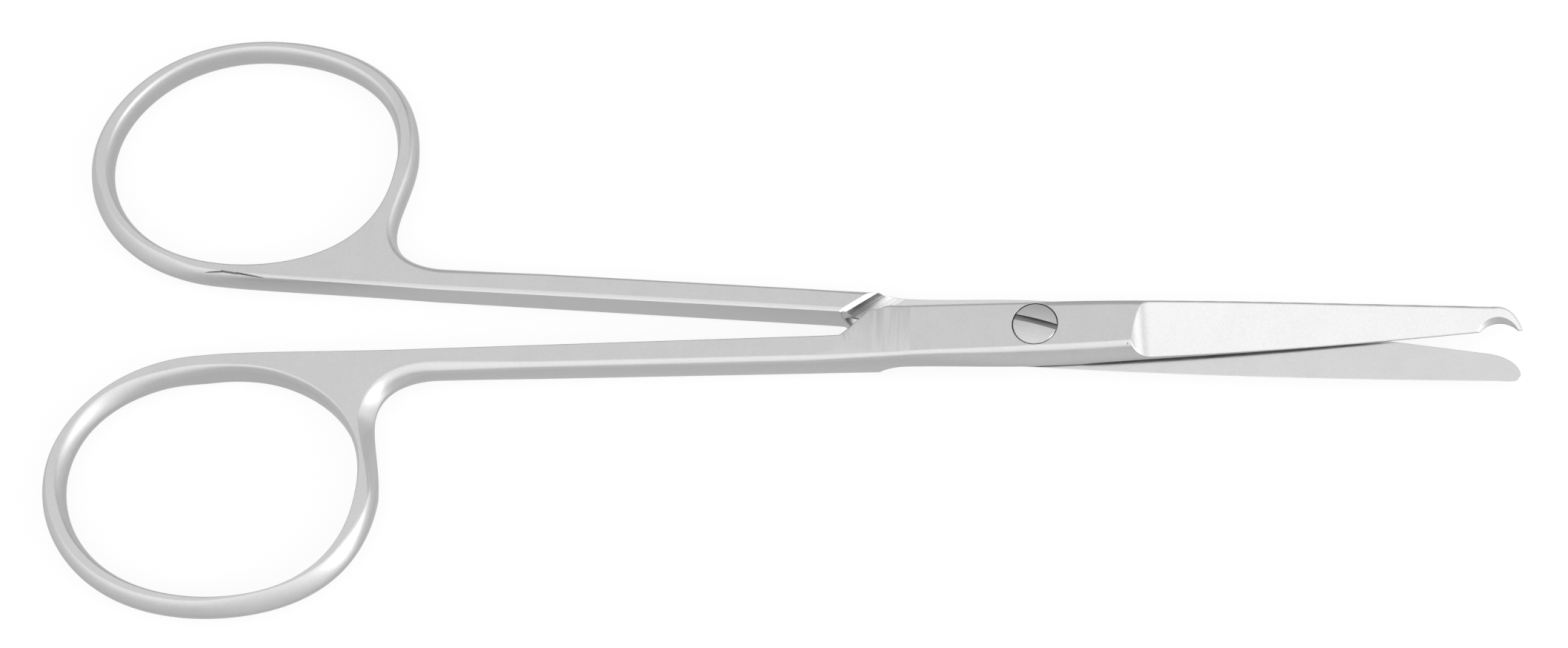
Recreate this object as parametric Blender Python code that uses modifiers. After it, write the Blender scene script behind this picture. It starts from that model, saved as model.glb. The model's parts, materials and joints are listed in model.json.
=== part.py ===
"""Suture scissors: two forged steel halves lapped on one pivot screw.

Each half is one forging with an oval finger ring, a straight shank, half of the lap
joint and a ground blade. One blade ends in a hook with a round notch that slips under a
stitch, the other ends blunt. The scissors lie flat on their lower face, slightly open,
with the pivot's axis through the origin and the blades along +X.

A half is drawn in its own frame: X towards the tip along the closed scissors' middle
line, Y towards the ring, the lap plane at Z = 0 and the outer face at -Z. The plain half
lies that way, and the hook half is the same forging turned over about X.
"""
from math import atan2, cos, degrees, hypot, pi, radians, sin, sqrt, tan

import bmesh
import bpy

MM = 0.001
COLLECTION = "suture_scissors"

# All lengths are in millimetres and all angles in degrees.
REST_OPENING = 5.6

PLAIN_RING_REACH = 72.57
PLAIN_RING_OFFSET = 12.74
PLAIN_RING_TURN = 3.4
HOOK_RING_REACH = 72.2
HOOK_RING_OFFSET = 12.6
HOOK_RING_TURN = 6.2
HOLE_LONG = 13.33
HOLE_SHORT = 10.93
HOLE_SQUARING = 0.022
BAND_END = 1.96
BAND_SIDE = 1.66
RING_THICK = 2.6
RING_ROUND = 0.85
RING_SIDE = 0.55
WEB_START = 258.0
WEB_END = 352.0
WEB_FADE = 24.0
WEB_ROUND = 0.16
PLAIN_WEB_CUT = 0.2
HOOK_WEB_CUT = -0.05
PLAIN_HOLE_TWIST = -3.5
HOOK_HOLE_TWIST = 3.5

SHANK_INNER = 0.32
SHANK_WIDTH = 2.23
PLAIN_FLARE = 0.0
HOOK_FLARE = 0.26
SHANK_THICK = 2.95
SHANK_DRAFT = 0.15
SHANK_ROUND = 0.32
EDGE_EASE = 0.07
NECK_LENGTH = 5.2
NECK_HEIGHT = 4.2

LAP_THICK = 1.8
LAP_GAP = 0.1
JOINT_BACK = 3.14
PLAIN_WAIST = 3.28
HOOK_WAIST = 3.05
JOINT_FRONT = 3.22
PLAIN_HEEL = 2.65
HOOK_HEEL = 2.88
JOINT_BULGE = 0.62
JOINT_SLOPE = 27.0
JOINT_ROUND = 0.22
SHOULDER_REACH = 16.95
LAP_RUN = 3.95
SHOULDER_TURN = 38.5
SHOULDER_CHAMFER = 0.27
CROTCH_BACK = 0.2
NOSE_UNDERCUT = 1.15
NOSE_GAP = 0.38
NOSE_ROUND = 0.14
NOSE_START = 0.85
NOSE_STEEP = 4.0
NOSE_FLAT = 2.1
NOSE_LENGTH = 3.0

GRIND_START = 8.1
GRIND_RADIUS = 2.0
GRIND_SLOPE = 15.6
EDGE_START = 0.5
EDGE_TIP = 0.17
BACK_BEVEL = 25.0
RELIEF_START = 4.0
RELIEF_DEPTH = 0.12

HOOK_REACH = 41.7
HOOK_EDGE = 1.27
POINT_LIFT = 0.09
HOOK_BACK = 1.22
HOOK_BELLY = 0.22
NOTCH_BACKSET = 2.0
NOTCH_RADIUS = 2.05
NOTCH_FLOOR = 0.5
NOTCH_BEVEL = 47.0

BLUNT_REACH = 41.7
BLUNT_EDGE = 0.58
BLUNT_BACK = 2.0
BLUNT_BELLY = 0.1
BLUNT_ROUND = 2.6

SCREW_RADIUS = 1.15
SCREW_NECK = 1.35
HEAD_RADIUS = 1.94
HEAD_RIM = 0.5
HEAD_CONE = 0.3
HEAD_DOME = 0.14
HEAD_PROUD = 0.02
FIT_GAP = 0.06
TAIL_EASE = 0.15
SLOT_WIDTH = 0.55
SLOT_DEPTH = 0.42
SLOT_TURN = -14.5

LEVELS = (-1.0, -0.86, -0.62, -0.3, 0.0, 0.3, 0.62, 0.86, 1.0)
ROUND_STEPS = 48
ARC_STEP = 6
ARC_END = 258

JOINT_HALF = LAP_THICK + LAP_GAP / 2
SHANK_HALF = SHANK_THICK / 2
RING_HALF = RING_THICK / 2
SHANK_OUTER = SHANK_INNER + SHANK_WIDTH
LAP_START = SHOULDER_REACH - LAP_RUN


def bezier(p0, p1, p2, p3, count):
    """Points of a cubic from p0 up to, but without, p3."""
    points = []
    for i in range(count):
        t = i / count
        a, b, c, e = (1 - t) ** 3, 3 * t * (1 - t) ** 2, 3 * t * t * (1 - t), t ** 3
        points.append((a * p0[0] + b * p1[0] + c * p2[0] + e * p3[0],
                       a * p0[1] + b * p1[1] + c * p2[1] + e * p3[1]))
    return points


def line(p0, p1, count):
    """Points of a straight run from p0 up to, but without, p1."""
    return [(p0[0] + (p1[0] - p0[0]) * i / count,
             p0[1] + (p1[1] - p0[1]) * i / count) for i in range(count)]


def ring_point(hooked, angle, extra_end=0.0, extra_side=0.0, twist=0.0):
    """A point of the ring's oval, a little squared towards the shank, at an angle."""
    turn = radians((HOOK_RING_TURN if hooked else PLAIN_RING_TURN) + twist)
    reach = HOOK_RING_REACH if hooked else PLAIN_RING_REACH
    offset = HOOK_RING_OFFSET if hooked else PLAIN_RING_OFFSET
    t = radians(angle)
    grow = 1.0 - HOLE_SQUARING * cos(4 * t) * (1 + cos(t)) / 2
    u, v = (HOLE_LONG + extra_end) * cos(t) * grow, (HOLE_SHORT + extra_side) * sin(t) * grow
    return (-reach + u * cos(turn) - v * sin(turn), offset + u * sin(turn) + v * cos(turn))


def ring_edge(hooked, angle):
    """A point of the ring's outer edge."""
    return ring_point(hooked, angle, BAND_END, BAND_SIDE)


def rounded(drop, half, side=None):
    """How far each level stands in where an edge is rounded, over a drop and a side."""
    insets = []
    for level in LEVELS:
        over = max(0.0, abs(level) * half - (half - drop)) / drop
        insets.append((side or drop) * (1 - sqrt(max(0.0, 1 - over ** 2))))
    return insets


def section_ring():
    return rounded(RING_ROUND, RING_HALF, RING_SIDE)


def web_share(angle):
    """How much the hole at an angle lies beside the flat web: from 0 to 1."""
    away = max(WEB_START - angle, angle - WEB_END, 0.0)
    if angle < WEB_START:
        away = min(away, angle + 360.0 - WEB_END)
    share = max(0.0, 1.0 - away / WEB_FADE)
    return share * share * (3 - 2 * share)


def hole_point(hooked, angle):
    """A point of the finger hole's edge, which is cut differently beside each web."""
    extra = (HOOK_WEB_CUT if hooked else PLAIN_WEB_CUT) * web_share(angle)
    twist = HOOK_HOLE_TWIST if hooked else PLAIN_HOLE_TWIST
    return ring_point(hooked, angle, extra, extra, twist)


def section_hole(angle):
    """The hole's side at an angle: rounded as the ring is, but crisp on the web's lap side."""
    ring = section_ring()
    lap = blend(ring, rounded(WEB_ROUND, RING_HALF), web_share(angle))
    return [one if level > 0 else two for one, two, level in zip(lap, ring, LEVELS)]


def section_inner():
    return [EDGE_EASE if abs(level) == 1.0 else 0.0 for level in LEVELS]


def section_outer():
    edge = rounded(SHANK_ROUND, SHANK_HALF)
    return [inset + SHANK_DRAFT * level ** 2 for inset, level in zip(edge, LEVELS)]


def section_joint(side, edge_round, power):
    """A side that leans in over a width, straight or bulging, to a rounded crest."""
    edge = rounded(edge_round, JOINT_HALF)
    insets = [inset + side * abs(level) ** power for inset, level in zip(edge, LEVELS)]
    lap_side = section_outer()
    return [lap if level > 0 else inset for inset, lap, level in zip(insets, lap_side, LEVELS)]


def section_nose():
    """The lap's rear end, rounded under so that it swings into the other half's scoop."""
    top = rounded(NOSE_ROUND, JOINT_HALF)
    insets = []
    for inset, level in zip(top, LEVELS):
        under = max(0.0, 1.0 - abs(min(level, 0.0)) / 0.55)
        insets.append(inset + NOSE_UNDERCUT * under ** 2)
    return insets


def section_edge():
    return [0.0 for level in LEVELS]


def blend(first, second, share):
    return [a + (b - a) * share for a, b in zip(first, second)]


def neck_station():
    return -min(PLAIN_RING_REACH, HOOK_RING_REACH) + HOLE_LONG + BAND_END + 1.2


def half_thickness(x, side):
    """Half the forging's thickness at x, on the outer (-1) or the lap (+1) side."""
    neck = neck_station()
    start = -SHOULDER_REACH - 2.5
    end = -LAP_START + 2.5
    if x <= neck:
        return RING_HALF
    if x <= start or side > 0:
        share = min(1.0, (x - neck) / (start - neck))
        return RING_HALF + (SHANK_HALF - RING_HALF) * share
    share = min(1.0, (x - start) / (end - start))
    share = share * share * (3 - 2 * share)
    return SHANK_HALF + (JOINT_HALF - SHANK_HALF) * share


def shoulder_point(distance):
    """A point on the shoulder's line, measured from the shank's inner side."""
    turn = radians(SHOULDER_TURN)
    return (-SHOULDER_REACH + distance * cos(turn), SHANK_INNER + distance * sin(turn))


def nose_line():
    """The lap's rear end: the other half's shoulder line, mirrored and set off by a gap.

    It is a little steeper than the shoulder, and the last point is where the side leans in.
    """
    turn = radians(SHOULDER_TURN)
    x, y = shoulder_point(NOSE_START)
    start = (x + NOSE_GAP * sin(turn), NOSE_GAP * cos(turn) - y)
    steep = radians(SHOULDER_TURN + NOSE_STEEP)
    return [(start[0] + reach * cos(steep), start[1] - reach * sin(steep))
            for reach in (0.0, NOSE_FLAT, NOSE_LENGTH)]


def outline(hooked):
    """Runs of the outline, each as (points, section at its start, section at its end)."""
    reach = HOOK_REACH if hooked else BLUNT_REACH
    edge_y = HOOK_EDGE if hooked else BLUNT_EDGE
    back_y = -HOOK_BACK if hooked else -BLUNT_BACK
    belly = HOOK_BELLY if hooked else BLUNT_BELLY
    waist_y = HOOK_WAIST if hooked else PLAIN_WAIST
    heel_y = HOOK_HEEL if hooked else PLAIN_HEEL
    flare = HOOK_FLARE if hooked else PLAIN_FLARE
    ring, inner, outer = section_ring(), section_inner(), section_outer()
    nose, edge = section_nose(), section_edge()
    joint = section_joint(JOINT_BULGE, JOINT_ROUND, 2)
    rear = section_joint(tan(radians(JOINT_SLOPE)) * JOINT_HALF, JOINT_ROUND, 1)
    back = section_joint(tan(radians(BACK_BEVEL)) * JOINT_HALF, 0.05, 1)
    tip = blend(edge, back, 0.5)
    corner_wall = [max(pair) for pair in zip(blend(edge, nose, 0.9), blend(edge, rear, 0.7))]
    heel_wall = [max(pair) for pair in zip(rear, blend(edge, nose, 0.55))]
    nose_a, nose_b, nose_c = nose_line()
    heel = (-LAP_START + 1.5, -JOINT_BACK)
    crotch = (-SHOULDER_REACH - CROTCH_BACK, SHANK_INNER)
    runs = []
    runs.append((bezier(crotch, (crotch[0] + 0.2, SHANK_INNER - 0.04),
                        (nose_a[0] - 0.36, nose_a[1] + 0.36), nose_a, 5), inner, nose))
    runs.append((line(nose_a, nose_b, 1), nose, nose))
    runs.append((line(nose_b, nose_c, 2), nose, corner_wall))
    corner = (nose_c[0] + (heel[0] - nose_c[0]) * 0.24, -JOINT_BACK)
    runs.append((bezier(nose_c, corner, (corner[0] + 0.6, -JOINT_BACK), heel, 7),
                 corner_wall, heel_wall))
    pivot_back = (1.0, -waist_y)
    span = pivot_back[0] - heel[0]
    runs.append((bezier(heel, (heel[0] + 0.32 * span, -JOINT_BACK),
                        (pivot_back[0] - 0.36 * span, -waist_y - 0.06), pivot_back, 8),
                 heel_wall, rear))
    end_back = (reach - (2.5 if hooked else 1.9), back_y)
    span = end_back[0] - pivot_back[0]
    runs.append((bezier(pivot_back, (pivot_back[0] + 0.26 * span, -waist_y + 0.02),
                        (pivot_back[0] + 0.6 * span, back_y - 0.85), end_back, 14),
                 rear, back))
    if hooked:
        point = (reach, edge_y - POINT_LIFT)
        runs.append((bezier(end_back, (reach - 1.05, back_y),
                            (reach - 0.42, edge_y - 1.45), point, 10), back, edge))
        shelf = (reach - 2 * NOTCH_BACKSET, edge_y)
        runs.append((line(point, shelf, 1), edge, edge))
    else:
        point = (reach, back_y + 0.7)
        runs.append((bezier(end_back, (reach - 0.5, back_y + 0.02),
                            (reach - 0.03, back_y + 0.2), point, 7), back, tip))
        shelf = (reach - BLUNT_ROUND - 0.8, edge_y)
        runs.append((bezier(point, (reach - 0.1, edge_y - 1.1),
                            (reach - BLUNT_ROUND * 0.42, edge_y - 0.05), shelf, 8), tip, edge))
    grind = (GRIND_START + 1.0, JOINT_FRONT - (JOINT_FRONT - edge_y) * 0.2 + belly * 0.6)
    third = (shelf[0] - grind[0]) / 3
    fall = (grind[1] - shelf[1]) / 3
    runs.append((bezier(shelf, (shelf[0] - third, shelf[1] + fall + belly),
                        (grind[0] + third, grind[1] - fall + belly), grind, 12), edge, joint))
    pivot_front = (0.0, JOINT_FRONT)
    runs.append((bezier(grind, (grind[0] * 2 / 3, grind[1] + fall * 0.25),
                        (grind[0] / 3, JOINT_FRONT), pivot_front, 6), joint, joint))
    heel_front = (-LAP_START + 1.0, heel_y)
    runs.append((bezier(pivot_front, (heel_front[0] / 3, JOINT_FRONT),
                        (heel_front[0] * 2 / 3, heel_y), heel_front, 7), joint, joint))
    shank_end = (-SHOULDER_REACH - 3.0, SHANK_OUTER + flare)
    runs.append((bezier(heel_front, (-LAP_START - 1.0, heel_y),
                        (-SHOULDER_REACH - 0.5, shank_end[1]), shank_end, 6), joint, outer))
    ring_side = ring_edge(hooked, 0)
    neck_end = (ring_side[0] + NECK_LENGTH - 0.6, SHANK_OUTER + 0.05)
    runs.append((line(shank_end, neck_end, 1), outer, outer))
    waist = (ring_side[0] - 0.8, SHANK_OUTER + NECK_HEIGHT)
    runs.append((bezier(neck_end, (neck_end[0] - 2.7, neck_end[1] + 0.05),
                        (waist[0] + 0.1, waist[1] - 3.1), waist, 9), outer, ring))
    runs.append((bezier(waist, (waist[0] - 0.05, waist[1] + 2.0),
                        (ring_side[0] + 0.05, ring_side[1] - 2.6), ring_side, 5), ring, ring))
    arc = [ring_edge(hooked, angle) for angle in range(0, ARC_END, ARC_STEP)]
    runs.append((arc, ring, ring))
    low = ring_edge(hooked, ARC_END)
    flat = (neck_station() + 1.5, SHANK_INNER)
    span = flat[0] - low[0]
    runs.append((bezier(low, (low[0] + 0.19 * span, low[1] - 0.014 * span),
                        (flat[0] - 0.38 * span, SHANK_INNER), flat, 10), ring, inner))
    runs.append((line(flat, crotch, 1), inner, inner))
    return runs


def flatten(runs):
    """Outline points with their level insets, in order."""
    points, insets = [], []
    for run, start, end in runs:
        for i, point in enumerate(run):
            points.append(point)
            insets.append(blend(start, end, i / len(run)))
    return points, insets


def offset_loop(points, insets, level):
    """The loop moved into the material by each point's inset at a level."""
    moved = []
    count = len(points)
    for i, (x, y) in enumerate(points):
        x0, y0 = points[i - 1]
        x1, y1 = points[(i + 1) % count]
        length = hypot(x1 - x0, y1 - y0)
        nx, ny = (y1 - y0) / length, (x0 - x1) / length
        inset = insets[i][level]
        moved.append((x - nx * inset, y - ny * inset))
    return moved


def add_walls(bm, points, insets):
    """Loft a wall through the offset loops of every level, and return its loops."""
    loops = []
    for level, height in enumerate(LEVELS):
        moved = offset_loop(points, insets, level)
        loops.append([bm.verts.new((x * MM, y * MM, height * MM)) for x, y in moved])
    for lower, upper in zip(loops, loops[1:]):
        for i in range(len(lower)):
            j = (i + 1) % len(lower)
            bm.faces.new((lower[i], lower[j], upper[j], upper[i]))
    return loops


def forging(name, hooked):
    """One half's forging, before its lap, blade and holes are cut."""
    points, insets = flatten(outline(hooked))
    angles = [360 - 360 * i / ROUND_STEPS for i in range(ROUND_STEPS)]
    hole = [hole_point(hooked, angle) for angle in angles]
    right = points.index(ring_edge(hooked, 0))
    bm = bmesh.new()
    walls = add_walls(bm, points, insets)
    bore = add_walls(bm, hole, [section_hole(angle) for angle in angles])
    sector = 10 * ARC_STEP
    for level in (0, -1):
        outer = walls[level]
        inner = bore[level] + bore[level][:1]
        for spoke in range(0, ARC_END - sector, sector):
            rim = outer[right + spoke // ARC_STEP:right + (spoke + sector) // ARC_STEP + 1]
            far, near = 360 - spoke - sector, 360 - spoke
            rest = inner[far * ROUND_STEPS // 360:near * ROUND_STEPS // 360 + 1]
            bm.faces.new(rim + rest)
        last = ARC_END // sector * sector
        rim = outer[right + last // ARC_STEP:] + outer[:right + 1]
        bm.faces.new(rim + inner[:(360 - last) * ROUND_STEPS // 360 + 1])
    bmesh.ops.recalc_face_normals(bm, faces=bm.faces[:])
    start = -SHOULDER_REACH - 2.5
    end = -LAP_START + 2.5
    stations = [neck_station(), start, start + (end - start) / 3,
                end - (end - start) / 3, end]
    for x in stations:
        bmesh.ops.bisect_plane(bm, geom=bm.verts[:] + bm.edges[:] + bm.faces[:],
                               dist=0.00000001, plane_co=(x * MM, 0, 0), plane_no=(1, 0, 0))
    for vert in bm.verts:
        side = 1 if vert.co.z > 0 else -1
        vert.co.z *= half_thickness(vert.co.x / MM, side)
    return add_object(name, bm)


def add_object(name, bm, cutter=False):
    """Turn a bmesh into an object, in the parts' collection or in the cutters'."""
    mesh = bpy.data.meshes.new(name)
    bm.to_mesh(mesh)
    bm.free()
    mesh.shade_smooth()
    mesh.set_sharp_from_angle(angle=radians(28))
    obj = bpy.data.objects.new(name, mesh)
    if cutter:
        obj.hide_render = True
        obj.display_type = "WIRE"
        bpy.data.collections["cutters"].objects.link(obj)
    else:
        bpy.data.collections[COLLECTION].objects.link(obj)
    return obj


def prism(name, profile, width):
    """A cutter with an X-Z profile, carried along Y to both sides."""
    bm = bmesh.new()
    verts = [bm.verts.new((x * MM, -width * MM / 2, z * MM)) for x, z in profile]
    face = bm.faces.new(verts)
    swept = bmesh.ops.extrude_face_region(bm, geom=[face])
    moved = [item for item in swept["geom"] if isinstance(item, bmesh.types.BMVert)]
    bmesh.ops.translate(bm, verts=moved, vec=(0, width * MM, 0))
    bmesh.ops.recalc_face_normals(bm, faces=bm.faces[:])
    return add_object(name, bm, cutter=True)


def cone(name, radius_top, radius_bottom, top, bottom, x=0.0, y=0.0, steps=ROUND_STEPS):
    """A round cutter on a vertical axis, between two heights."""
    bm = bmesh.new()
    bmesh.ops.create_cone(bm, cap_ends=True, segments=steps, radius1=radius_bottom * MM,
                          radius2=radius_top * MM, depth=(top - bottom) * MM)
    bmesh.ops.translate(bm, verts=bm.verts[:], vec=(x * MM, y * MM, (top + bottom) * MM / 2))
    return add_object(name, bm, cutter=True)


def turned(name, profile, cutter=False):
    """A profile of (radius, height), from top to bottom, turned about Z."""
    bm = bmesh.new()
    verts = [bm.verts.new((r * MM, 0, z * MM)) for r, z in profile]
    for a, b in zip(verts, verts[1:]):
        bm.edges.new((a, b))
    obj = add_object(name, bm, cutter)
    screw = obj.modifiers.new("turn", "SCREW")
    screw.steps = ROUND_STEPS
    screw.render_steps = ROUND_STEPS
    screw.use_merge_vertices = True
    screw.merge_threshold = 0.000001
    return obj


def cut(obj, cutter):
    """Take the cutter, placed in the half's own frame, out of the half."""
    cutter.parent = obj
    boolean = obj.modifiers.new(cutter.name, "BOOLEAN")
    boolean.operation = "DIFFERENCE"
    boolean.solver = "EXACT"
    boolean.object = cutter


def cut_lap(obj):
    """Take away everything above the lap plane, up to the scooped shoulder."""
    floor = -LAP_GAP / 2
    top = half_thickness(-SHOULDER_REACH, 1)
    radius = top - floor
    start = degrees(atan2(SHOULDER_CHAMFER, radius))
    profile = []
    rise = SHOULDER_CHAMFER + 0.8
    begin = radius - sqrt(radius ** 2 - SHOULDER_CHAMFER ** 2)
    profile.append((begin - rise, top + 0.8))
    steps = 9
    for i in range(steps + 1):
        angle = radians(start + (90 - start) * i / steps)
        profile.append((radius - radius * cos(angle), top - radius * sin(angle)))
    far = HOOK_REACH + HOOK_RING_REACH
    profile.append((far, floor))
    profile.append((far, top + 3.0))
    profile.append((begin - rise, top + 3.0))
    cutter = prism(obj.name + "_lap_cutter", profile, 2 * far)
    turn = radians(SHOULDER_TURN)
    cutter.rotation_euler = (0, 0, turn - pi / 2)
    x, y = shoulder_point(0)
    cutter.location = (x * MM, y * MM, 0)
    cut(obj, cutter)


def cut_blade(obj, hooked):
    """Grind the blade's outer side to a flat wedge that starts in a round scoop.

    The wedge gets thinner to the tip, and the inner face is a little hollow along its length.
    """
    reach = HOOK_REACH if hooked else BLUNT_REACH
    edge_y = HOOK_EDGE if hooked else BLUNT_EDGE
    start_y = JOINT_FRONT - (JOINT_FRONT - edge_y) * 0.2
    run = reach - NOTCH_BACKSET * 2 - GRIND_START
    chord = atan2(edge_y - start_y, run)
    steps = 7
    profile = []
    for i in range(steps + 1):
        angle = pi / 2 * i / steps
        profile.append((GRIND_RADIUS - GRIND_RADIUS * cos(angle),
                        GRIND_RADIUS * sin(angle) - GRIND_RADIUS))
    profile.append((reach, 0.0))
    profile.append((reach, -2 * JOINT_HALF))
    profile.append((0.0, -2 * JOINT_HALF))
    cutter = prism(obj.name + "_grind_cutter", profile, 6 * JOINT_BACK)
    taper = atan2(EDGE_START - EDGE_TIP, run)
    cutter.rotation_euler = (radians(GRIND_SLOPE), -taper, chord)
    cutter.location = (GRIND_START * MM, start_y * MM, -EDGE_START * MM)
    cut(obj, cutter)


def cut_relief(obj, hooked):
    """Hollow the blade's inner face a little, so that the blades meet only near their tips."""
    reach = (HOOK_REACH if hooked else BLUNT_REACH) - NOTCH_BACKSET * 2
    steps = 10
    profile = []
    for i in range(steps + 1):
        x = RELIEF_START + (reach - RELIEF_START) * i / steps
        profile.append((x, -LAP_GAP / 2 - RELIEF_DEPTH * sin(pi * i / steps)))
    profile.append((reach, JOINT_HALF))
    profile.append((RELIEF_START, JOINT_HALF))
    cut(obj, prism(obj.name + "_relief_cutter", profile, 6 * JOINT_BACK))


def cut_notch(obj):
    """Grind the stitch notch: round, and bevelled so that its floor is sharp."""
    grow = tan(radians(NOTCH_BEVEL))
    low = -0.75 * JOINT_HALF
    high = 0.5
    cutter = cone("notch_cutter", NOTCH_RADIUS - grow * high, NOTCH_RADIUS - grow * low,
                  high, low, HOOK_REACH - NOTCH_BACKSET, NOTCH_FLOOR + NOTCH_RADIUS, 72)
    cut(obj, cutter)


def make_half(name, hooked):
    obj = forging(name, hooked)
    cut_lap(obj)
    cut_blade(obj, hooked)
    cut_relief(obj, hooked)
    over = JOINT_HALF + 1.0
    if hooked:
        cut_notch(obj)
        hole = SCREW_NECK + FIT_GAP
        seat = HEAD_RADIUS + FIT_GAP
        rim = -(JOINT_HALF + HEAD_PROUD - HEAD_RIM) + FIT_GAP
        cut(obj, turned("seat_cutter", [(0.0, over), (hole, over), (hole, rim + HEAD_CONE),
                                        (seat, rim), (seat, -over), (0.0, -over)], cutter=True))
    else:
        hole = SCREW_RADIUS + FIT_GAP
        cut(obj, cone("thread_cutter", hole, hole, over, -over))
    return obj


def make_screw():
    """The pivot screw, turned about Z, with its slot milled across the domed head."""
    top = 2 * JOINT_HALF + HEAD_PROUD
    rim = top - HEAD_RIM
    neck_end = JOINT_HALF + LAP_GAP / 2
    profile = [(0.0, top + HEAD_DOME)]
    steps = 6
    ball = (HEAD_RADIUS ** 2 + HEAD_DOME ** 2) / (2 * HEAD_DOME)
    for i in range(1, steps + 1):
        r = (HEAD_RADIUS - 0.06) * i / steps
        profile.append((r, top + HEAD_DOME - ball + sqrt(ball ** 2 - r ** 2)))
    profile.append((HEAD_RADIUS, top - 0.06))
    profile.append((HEAD_RADIUS, rim))
    profile.append((SCREW_NECK, rim - HEAD_CONE))
    profile.append((SCREW_NECK, neck_end))
    profile.append((SCREW_RADIUS, neck_end))
    profile.append((SCREW_RADIUS, TAIL_EASE))
    profile.append((SCREW_RADIUS - TAIL_EASE, 0.0))
    profile.append((0.0, 0.0))
    obj = turned("pivot_screw", profile)
    slot_bm = bmesh.new()
    bmesh.ops.create_cube(slot_bm, size=1.0)
    bmesh.ops.scale(slot_bm, verts=slot_bm.verts[:],
                    vec=(3 * HEAD_RADIUS * MM, SLOT_WIDTH * MM, 2 * SLOT_DEPTH * MM))
    slot = add_object("slot_cutter", slot_bm, cutter=True)
    slot.location = (0, 0, (top + HEAD_DOME) * MM)
    slot.rotation_euler = (0, 0, radians(SLOT_TURN))
    cut(obj, slot)
    return obj


def steel(name, colour, roughness):
    material = bpy.data.materials.new(name)
    material.use_nodes = True
    shader = material.node_tree.nodes["Principled BSDF"]
    shader.inputs["Base Color"].default_value = (*colour, 1.0)
    shader.inputs["Metallic"].default_value = 1.0
    shader.inputs["Roughness"].default_value = roughness
    return material


def main():
    for obj in list(bpy.data.objects):
        bpy.data.objects.remove(obj, do_unlink=True)
    for name in (COLLECTION, "cutters"):
        collection = bpy.data.collections.new(name)
        bpy.context.scene.collection.children.link(collection)

    plain = make_half("plain_half", hooked=False)
    plain.location = (0, 0, JOINT_HALF * MM)
    plain.rotation_euler = (0, 0, radians(-REST_OPENING / 2))
    plain.data.materials.append(steel("plain_steel", (0.60, 0.61, 0.62), 0.32))

    pivot = bpy.data.objects.new("pivot", None)
    pivot.empty_display_size = 0.005
    pivot.location = (0, 0, JOINT_HALF * MM)
    pivot.rotation_euler = (0, 0, radians(REST_OPENING / 2))
    bpy.data.collections[COLLECTION].objects.link(pivot)
    hook = make_half("hook_half", hooked=True)
    hook.parent = pivot
    hook.rotation_euler = (pi, 0, 0)
    hook.data.materials.append(steel("hook_steel", (0.62, 0.63, 0.64), 0.3))

    screw = make_screw()
    screw.data.materials.append(steel("screw_steel", (0.52, 0.53, 0.54), 0.28))


main()
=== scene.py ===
"""Looks of the suture scissors: satin forged halves, bright ground blades and a slotted screw.

The two halves and the screw are made again here with finer curves, from the same sizes as
the solid part, and each takes the place of its solid. A half is drawn in its own frame: X to
the tip, Y towards the ring, the lap plane at Z = 0 and the outer face at -Z.
"""
import json
from math import atan2, cos, degrees, hypot, pi, radians, sin, sqrt, tan

import bmesh
import bpy
from mathutils import Euler, Matrix, Vector
from mathutils.geometry import delaunay_2d_cdt

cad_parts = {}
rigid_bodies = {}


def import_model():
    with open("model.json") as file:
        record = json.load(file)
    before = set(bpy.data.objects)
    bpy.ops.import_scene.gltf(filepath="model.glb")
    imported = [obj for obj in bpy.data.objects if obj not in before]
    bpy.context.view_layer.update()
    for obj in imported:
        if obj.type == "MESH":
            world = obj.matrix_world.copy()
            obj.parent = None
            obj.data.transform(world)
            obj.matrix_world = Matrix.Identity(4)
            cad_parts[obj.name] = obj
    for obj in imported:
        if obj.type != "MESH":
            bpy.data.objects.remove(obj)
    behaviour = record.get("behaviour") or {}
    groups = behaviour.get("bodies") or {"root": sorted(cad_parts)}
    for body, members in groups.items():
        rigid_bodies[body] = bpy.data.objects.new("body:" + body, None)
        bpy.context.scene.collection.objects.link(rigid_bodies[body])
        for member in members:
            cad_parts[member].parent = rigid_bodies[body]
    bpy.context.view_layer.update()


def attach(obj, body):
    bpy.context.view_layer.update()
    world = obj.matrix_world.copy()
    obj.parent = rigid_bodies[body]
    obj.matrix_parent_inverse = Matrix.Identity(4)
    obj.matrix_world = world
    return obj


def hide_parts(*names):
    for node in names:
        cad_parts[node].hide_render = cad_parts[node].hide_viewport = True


MM = 0.001

# Lengths are in millimetres and angles in degrees, apart from what is said to be in metres.
REST_OPENING = 5.6

# The rings, their holes and the webs beside them.
PLAIN_RING_REACH = 72.57
PLAIN_RING_OFFSET = 12.74
PLAIN_RING_TURN = 3.4
HOOK_RING_REACH = 72.2
HOOK_RING_OFFSET = 12.6
HOOK_RING_TURN = 6.2
HOLE_LONG = 13.33
HOLE_SHORT = 10.93
HOLE_SQUARING = 0.022
BAND_END = 1.96
BAND_SIDE = 1.66
RING_THICK = 2.6
RING_POWER = 1.75
RING_UNDER = 2.3
RING_FACET = 0.72
RING_FLATTEN = 1.3
WEB_START = 258.0
WEB_END = 352.0
WEB_FADE = 24.0
WEB_ROUND = 0.16
PLAIN_WEB_CUT = 0.2
HOOK_WEB_CUT = -0.05
PLAIN_HOLE_TWIST = -3.5
HOOK_HOLE_TWIST = 3.5

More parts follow.
